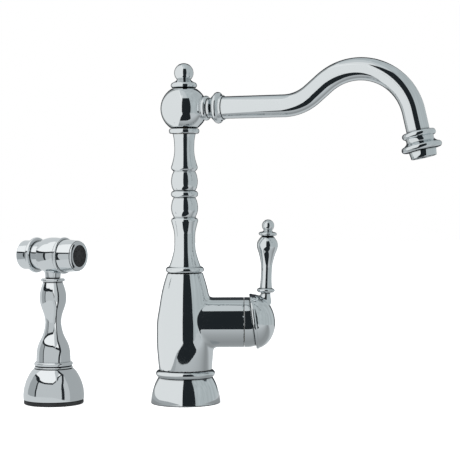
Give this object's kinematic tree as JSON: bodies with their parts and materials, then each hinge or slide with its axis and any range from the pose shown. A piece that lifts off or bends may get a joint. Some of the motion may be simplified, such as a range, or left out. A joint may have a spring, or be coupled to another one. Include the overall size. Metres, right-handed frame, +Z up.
{
  "type": "side spray kitchen faucet",
  "caption": "Single lever kitchen faucet with a turned column, swan neck swivel spout, side lever and a separate pull-out hand spray in a deck holder.",
  "frame": {"origin": "centre of the faucet's underside, on the column axis, at deck level", "axes": "+Z up along the column, +X towards the lever and away from the hand spray, -Y towards the user"},
  "size_m": [0.3948, 0.1297, 0.3226],
  "materials": {
    "chrome": "polished chrome plate on brass",
    "brass": "machined",
    "steel": "stainless",
    "ceramic": "lapped ceramic",
    "plastic": "moulded",
    "rubber": "black rubber"
  },
  "bodies": {
    "root": {"base_flange": "chrome", "base_gasket": "rubber", "faucet_body": "chrome", "diverter_seat": "brass", "diverter_spring": "steel", "column": "chrome", "swivel_collar": "chrome", "swivel_post": "brass", "lower_swivel_seal": "rubber", "upper_swivel_seal": "rubber", "swivel_thrust_washer": "plastic", "retaining_washer": "steel", "retaining_screw": "steel", "cartridge_base": "plastic", "fixed_ceramic_disc": "ceramic", "cartridge_shell": "plastic", "cartridge_retaining_ring": "brass", "arm_bonnet": "chrome", "holder_gasket": "rubber", "spray_holder": "chrome", "holder_bush": "plastic"},
    "spout": {"spout_ball": "chrome", "finial": "chrome", "spout_collar": "chrome", "spout_tube": "chrome", "aerator_housing": "chrome", "aerator_washer": "rubber", "aerator_nozzle": "chrome", "aerator_screen": "plastic"},
    "turret": {"cartridge_turret": "plastic", "lever_pin": "steel"},
    "lever": {"lever_dome": "chrome", "lever_stick": "chrome", "lever_spindle": "brass", "lever_set_screw": "steel"},
    "mixing_disc": {"sliding_ceramic_disc": "ceramic", "disc_driver": "plastic"},
    "diverter": {"diverter_poppet": "plastic"},
    "coupling": {"hose_coupling": "chrome", "coupling_seal": "rubber", "coupling_snap_ring": "steel"},
    "handset": {"spray_handle": "chrome", "handle_collar": "chrome", "spray_head": "chrome", "button_guide_ring": "chrome", "nozzle_locking_ring": "chrome", "nozzle_housing": "chrome", "spray_face": "rubber", "nozzle_bezel": "chrome", "button_spring": "steel"},
    "spray_button": {"push_button": "chrome", "valve_stem": "steel", "valve_seal": "rubber"}
  },
  "joints": [
    {"name": "spout_swivel", "type": "hinge", "parent": "root", "child": "spout", "pos_m": [0, 0, 0.28], "axis": [0, 0, 1], "continuous": true},
    {"name": "temperature_turn", "type": "hinge", "parent": "root", "child": "turret", "pos_m": [0.059, 0, 0.0765], "axis": [1, 0, 0], "range_deg": [-45, 45]},
    {"name": "lever_lift", "type": "hinge", "parent": "turret", "child": "lever", "pos_m": [0.059, 0, 0.0765], "axis": [0, 1, 0], "range_deg": [0, 22]},
    {"name": "mixing_disc_slide", "type": "slide", "parent": "turret", "child": "mixing_disc", "axis": [0, 0, 1], "range_m": [0, 0.0054]},
    {"name": "diverter_shift", "type": "slide", "parent": "root", "child": "diverter", "axis": [0, 0, 1], "range_m": [0, 0.003], "stiffness_N_per_m": 60, "springref_m": -0.002, "deforming": ["diverter_spring"]},
    {"name": "coupling_lift", "type": "slide", "parent": "root", "child": "coupling", "axis": [0, 0, 1], "range_m": [0, 0.08]},
    {"name": "handset_turn", "type": "hinge", "parent": "coupling", "child": "handset", "pos_m": [-0.1257, 0, 0.04], "axis": [0, 0, 1], "continuous": true},
    {"name": "spray_button_press", "type": "slide", "parent": "handset", "child": "spray_button", "axis": [0.8572, -0.515, 0], "range_m": [0, 0.003], "stiffness_N_per_m": 500, "springref_m": -0.002, "deforming": ["button_spring"]}
  ],
  "couplings": [
    {"joint": "mixing_disc_slide", "follows": "lever_lift", "m_per_rad": 0.0139}
  ]
}
